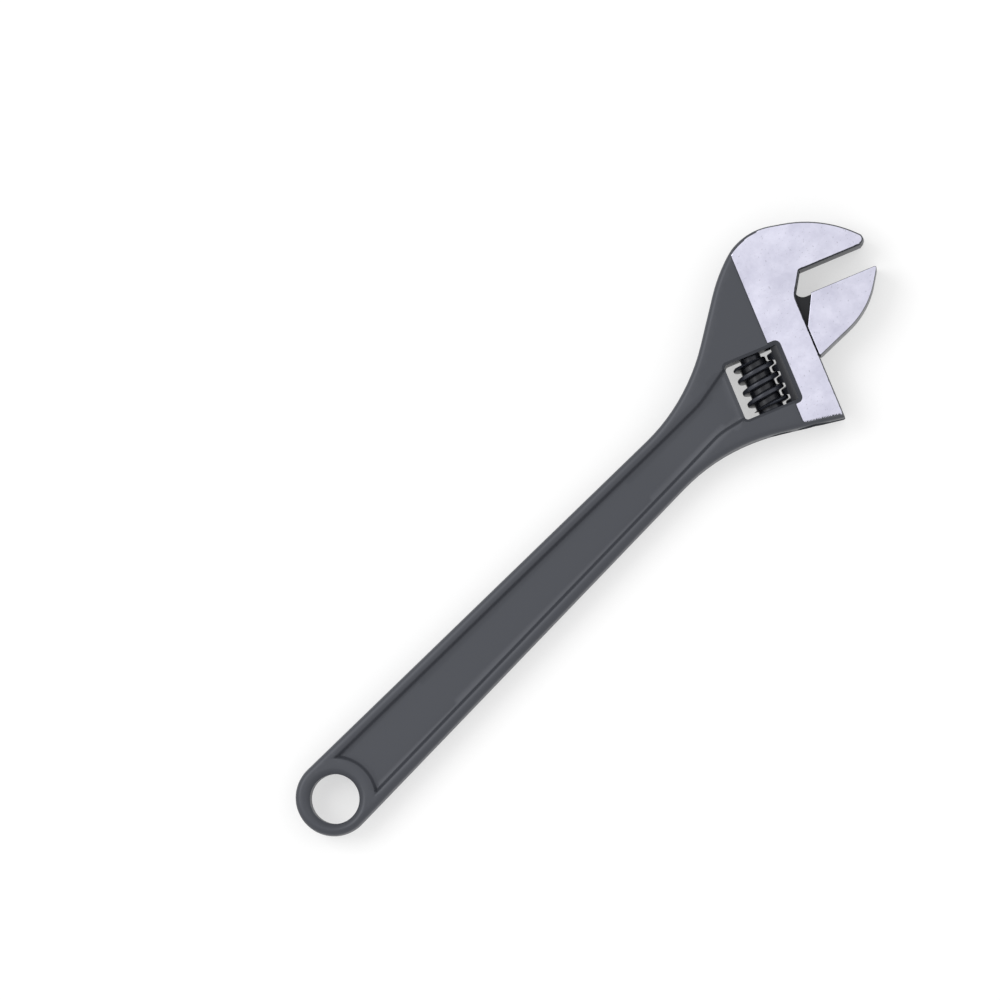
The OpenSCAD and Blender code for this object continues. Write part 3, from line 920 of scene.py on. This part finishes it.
def make_worm():
    """The worm: a right-hand helical thread on a core, turned to length, bored, with room for the spring.

    The thread carries one rounded section along a helix: as the angle from u towards z falls by a turn, v
    grows by the pitch.
    """
    w = sizes(props()[3])
    crest, foot = w.crest_radius, w.root_radius - 1
    turns = math.ceil((w.thread_high - w.thread_low) / PITCH) + 2
    ease = np.linspace(0, math.pi / 2, 5)[1:]
    soft = 0.5
    upper = [(foot, thread_half(w, foot) + 0.5)]
    upper += [(w.root_radius + 0.05, thread_half(w, w.root_radius) + 0.42)]
    upper += [(w.root_radius + 0.5, thread_half(w, w.root_radius + 0.5) + 0.02)]
    upper += [(crest - soft, thread_half(w, crest - soft))]
    flat = thread_half(w, crest)
    upper += [(crest - soft + soft * math.sin(t), flat - soft * (1 - math.cos(t))) for t in ease]
    section = np.array(upper)
    section = np.vstack([section * (1, -1), section[::-1]])
    steps = turns * 96
    turn = np.arange(steps + 1) / 96
    angle = -2 * math.pi * turn
    v = w.phase + PITCH * (turn - turns // 2)
    r = section[:, 0][None]
    points = np.stack(
        [r * np.cos(angle)[:, None], v[:, None] + section[:, 1][None], r * np.sin(angle)[:, None]], axis=-1
    )
    n = len(section)
    faces = grid_faces(steps + 1, n).tolist() + [list(range(n))[::-1], [steps * n + k for k in range(n)]]
    thread = new_piece("worm_with_thread", in_head(points.reshape(-1, 3)), faces)

    low, high, wide = w.thread_low, w.thread_high, crest + 1
    trim = [(0, low), (crest - 1.2, low), (crest - 0.1, low + 0.9), (wide, low + 2.4), (wide, high - 2.4),
            (crest - 0.1, high - 0.9), (crest - 1.2, high), (0, high)]
    boolean(thread, new_piece("trim", *lathe(trim, 0, 128)), "INTERSECT")
    root, end = w.root_radius, w.half_length
    core = [
        (0, -end), (root - 0.9, -end), (root - 0.6, -end + 0.3), (root - 0.6, low + 0.05),
        (root - 0.3, low + 0.05), (root, low + 0.35), (root, high - 0.35), (root - 0.3, high - 0.05),
        (root - 2, high - 0.05),
        (root - 2, end - 0.3), (root - 2.3, end), (0, end),
    ]
    boolean(thread, new_piece("core", *lathe(core, 0, 128)), "UNION")
    bore = w.pin_radius + w.pin_gap
    room, depth = SPRING_ROOM
    hole = [(0, -30), (room, -30), (room, -end + depth), (bore, -end + depth), (bore, 30), (0, 30)]
    boolean(thread, new_piece("bore", *lathe(hole)))
    finish_piece(thread, "worm", "worm", [the_material("black_oxide")], 30)


def make_screw():
    """The axle screw: a slotted head and a plain shank with a bevelled end."""
    w = sizes(props()[3])
    seat, end = SEAT_V - 0.05, SCREW_V
    low = seat - HEAD_LEN
    r, head = w.pin_radius, w.screw_head
    profile = [
        (0, low), (head - 1.2, low), (head - 0.3, low + 0.35), (head, low + 0.9), (head, seat), (r, seat),
        *[(r, v) for v in np.linspace(seat + 6, end - 6, 6)], (r, end - 0.6), (r - 0.6, end), (0, end),
    ]
    screw = new_piece("axle_screw", *lathe(profile))
    boolean(screw, new_piece("slot", *block((-head - 1, low - 1, -0.8), (head + 1, low + 1.4, 0.8))))
    finish_piece(screw, "worm_pin", "wrench_body", [the_material("turned_steel")], 30)


def make_spring():
    """The spring: a round wire along a helix whose pitch eases to nothing at both ends."""
    w, h = sizes(props()[3]), sizes(props()[1])
    radius = (w.pin_radius + SPRING_ROOM[0]) / 2 + 0.1
    low = -h.window_half + w.spring_wire + 0.1
    high = -w.half_length + SPRING_ROOM[1] - w.spring_wire - 0.1
    steps, sides = w.spring_turns * 48, 14
    t = np.arange(steps + 1) / steps
    angle = -2 * math.pi * w.spring_turns * t
    round_ = 2 * math.pi * np.arange(sides) / sides
    shrink = np.minimum(1, 0.35 + 24 * np.minimum(t, 1 - t))[:, None]
    r = radius + w.spring_wire * shrink * np.cos(round_)[None]
    v = (low + (high - low) * smooth(t))[:, None] + w.spring_wire * shrink * np.sin(round_)[None]
    points = np.stack([r * np.cos(angle)[:, None], v, r * np.sin(angle)[:, None]], axis=-1).reshape(-1, 3)
    faces = grid_faces(steps + 1, sides).tolist()
    faces += [list(range(sides))[::-1], [steps * sides + k for k in range(sides)]]
    spring = new_piece("worm_spring_wire", in_head(points), faces)
    finish_piece(spring, "worm_spring", "wrench_body", [the_material("spring_steel")], 50)


# ---- stage ----


def area_light(name, place, size, power):
    """A soft square light that faces the middle of the wrench."""
    data = bpy.data.lights.new(name, "AREA")
    data.shape, data.size, data.energy = "SQUARE", size, power
    light = bpy.data.objects.new(name, data)
    bpy.context.scene.collection.objects.link(light)
    light.location = place
    light.rotation_euler = (Vector(LIGHTS_AIM) - Vector(place)).to_track_quat("-Z", "Y").to_euler()


def make_stage():
    """A pale floor under the head's lower face, soft lights and the camera."""
    mesh = bpy.data.meshes.new("floor")
    half, level = FLOOR_HALF, -HALF_HEAD * MM
    corners = [(-half, -half, level), (half, -half, level), (half, half, level), (-half, half, level)]
    mesh.from_pydata(corners, [], [(0, 1, 2, 3)])
    floor = bpy.data.objects.new("floor", mesh)
    bpy.context.scene.collection.objects.link(floor)
    mesh.materials.append(the_material("floor"))

    world = bpy.data.worlds.new("studio")
    world.use_nodes = True
    background = world.node_tree.nodes["Background"]
    background.inputs["Color"].default_value = (1, 1, 1, 1)
    background.inputs["Strength"].default_value = WORLD_LIGHT
    bpy.context.scene.world = world
    bpy.context.scene.view_settings.view_transform = "Standard"
    area_light("key_light", KEY_PLACE, KEY_SIZE, KEY_LIGHT)
    area_light("fill_light", FILL_PLACE, FILL_SIZE, FILL_LIGHT)

    camera = bpy.data.objects.new("camera", bpy.data.cameras.new("camera"))
    bpy.context.scene.collection.objects.link(camera)
    turn = math.radians(VIEW_TURN)
    aim = Vector(VIEW_MIDDLE)
    place = Vector(VIEW_FROM)
    forward = (aim - place).normalized()
    right = Vector((math.cos(turn), -math.sin(turn), 0))
    right = (right - right.dot(forward) * forward).normalized()
    up = right.cross(forward)
    camera.matrix_world = Matrix((right, up, -forward)).transposed().to_4x4()
    camera.location = place
    camera.data.sensor_width = FILM_WIDTH
    camera.data.lens = FILM_WIDTH * (aim - place).length / VIEW_WIDTH
    camera.data.clip_start, camera.data.clip_end = 0.05, 50
    bpy.context.scene.camera = camera


# ---- operators, panel and registration ----


class WRENCH_OT_body(bpy.types.Operator):
    """Make the forged body with its handle, head, window and bores"""
    bl_idname = "wrench.body"
    bl_label = "Body"
    bl_options = {"REGISTER", "UNDO"}

    def execute(self, context):
        make_body()
        return {"FINISHED"}


class WRENCH_OT_jaw(bpy.types.Operator):
    """Make the sliding jaw with its neck, rail and rack"""
    bl_idname = "wrench.jaw"
    bl_label = "Sliding jaw"
    bl_options = {"REGISTER", "UNDO"}

    def execute(self, context):
        make_jaw()
        return {"FINISHED"}


class WRENCH_OT_worm(bpy.types.Operator):
    """Make the worm with its helical thread"""
    bl_idname = "wrench.worm"
    bl_label = "Worm"
    bl_options = {"REGISTER", "UNDO"}

    def execute(self, context):
        make_worm()
        return {"FINISHED"}


class WRENCH_OT_screw(bpy.types.Operator):
    """Make the slotted axle screw"""
    bl_idname = "wrench.screw"
    bl_label = "Axle screw"
    bl_options = {"REGISTER", "UNDO"}

    def execute(self, context):
        make_screw()
        return {"FINISHED"}


class WRENCH_OT_spring(bpy.types.Operator):
    """Make the worm's spring"""
    bl_idname = "wrench.spring"
    bl_label = "Spring"
    bl_options = {"REGISTER", "UNDO"}

    def execute(self, context):
        make_spring()
        return {"FINISHED"}


class WRENCH_OT_stage(bpy.types.Operator):
    """Make the floor, the lights and the camera"""
    bl_idname = "wrench.stage"
    bl_label = "Stage"
    bl_options = {"REGISTER", "UNDO"}

    def execute(self, context):
        make_stage()
        return {"FINISHED"}


OPERATORS = [
    WRENCH_OT_body, WRENCH_OT_jaw, WRENCH_OT_worm, WRENCH_OT_screw, WRENCH_OT_spring, WRENCH_OT_stage,
]

GROUPS = {
    "wrench_handle": HandleSizes,
    "wrench_head": HeadSizes,
    "wrench_jaw": JawSizes,
    "wrench_worm": WormSizes,
    "wrench_finish": FinishLook,
}


class WRENCH_PT_panel(bpy.types.Panel):
    """Sizes, finishes and one button for each piece"""
    bl_idname = "WRENCH_PT_panel"
    bl_label = "Adjustable wrench"
    bl_space_type = "VIEW_3D"
    bl_region_type = "UI"
    bl_category = "Wrench"

    def draw(self, context):
        for name, group in GROUPS.items():
            box = self.layout.box()
            for key in group.__annotations__:
                box.prop(getattr(context.scene, name), key)
        for made in OPERATORS:
            self.layout.operator(made.bl_idname)


def register():
    for kind in [*GROUPS.values(), *OPERATORS, WRENCH_PT_panel]:
        bpy.utils.register_class(kind)
    for name, group in GROUPS.items():
        setattr(bpy.types.Scene, name, bpy.props.PointerProperty(type=group))


def unregister():
    for name in GROUPS:
        delattr(bpy.types.Scene, name)
    for kind in reversed([*GROUPS.values(), *OPERATORS, WRENCH_PT_panel]):
        bpy.utils.unregister_class(kind)


def main():
    register()
    bpy.ops.wrench.body()
    bpy.ops.wrench.jaw()
    bpy.ops.wrench.worm()
    bpy.ops.wrench.screw()
    bpy.ops.wrench.spring()
    bpy.ops.wrench.stage()


if __name__ == "__main__":
    main()
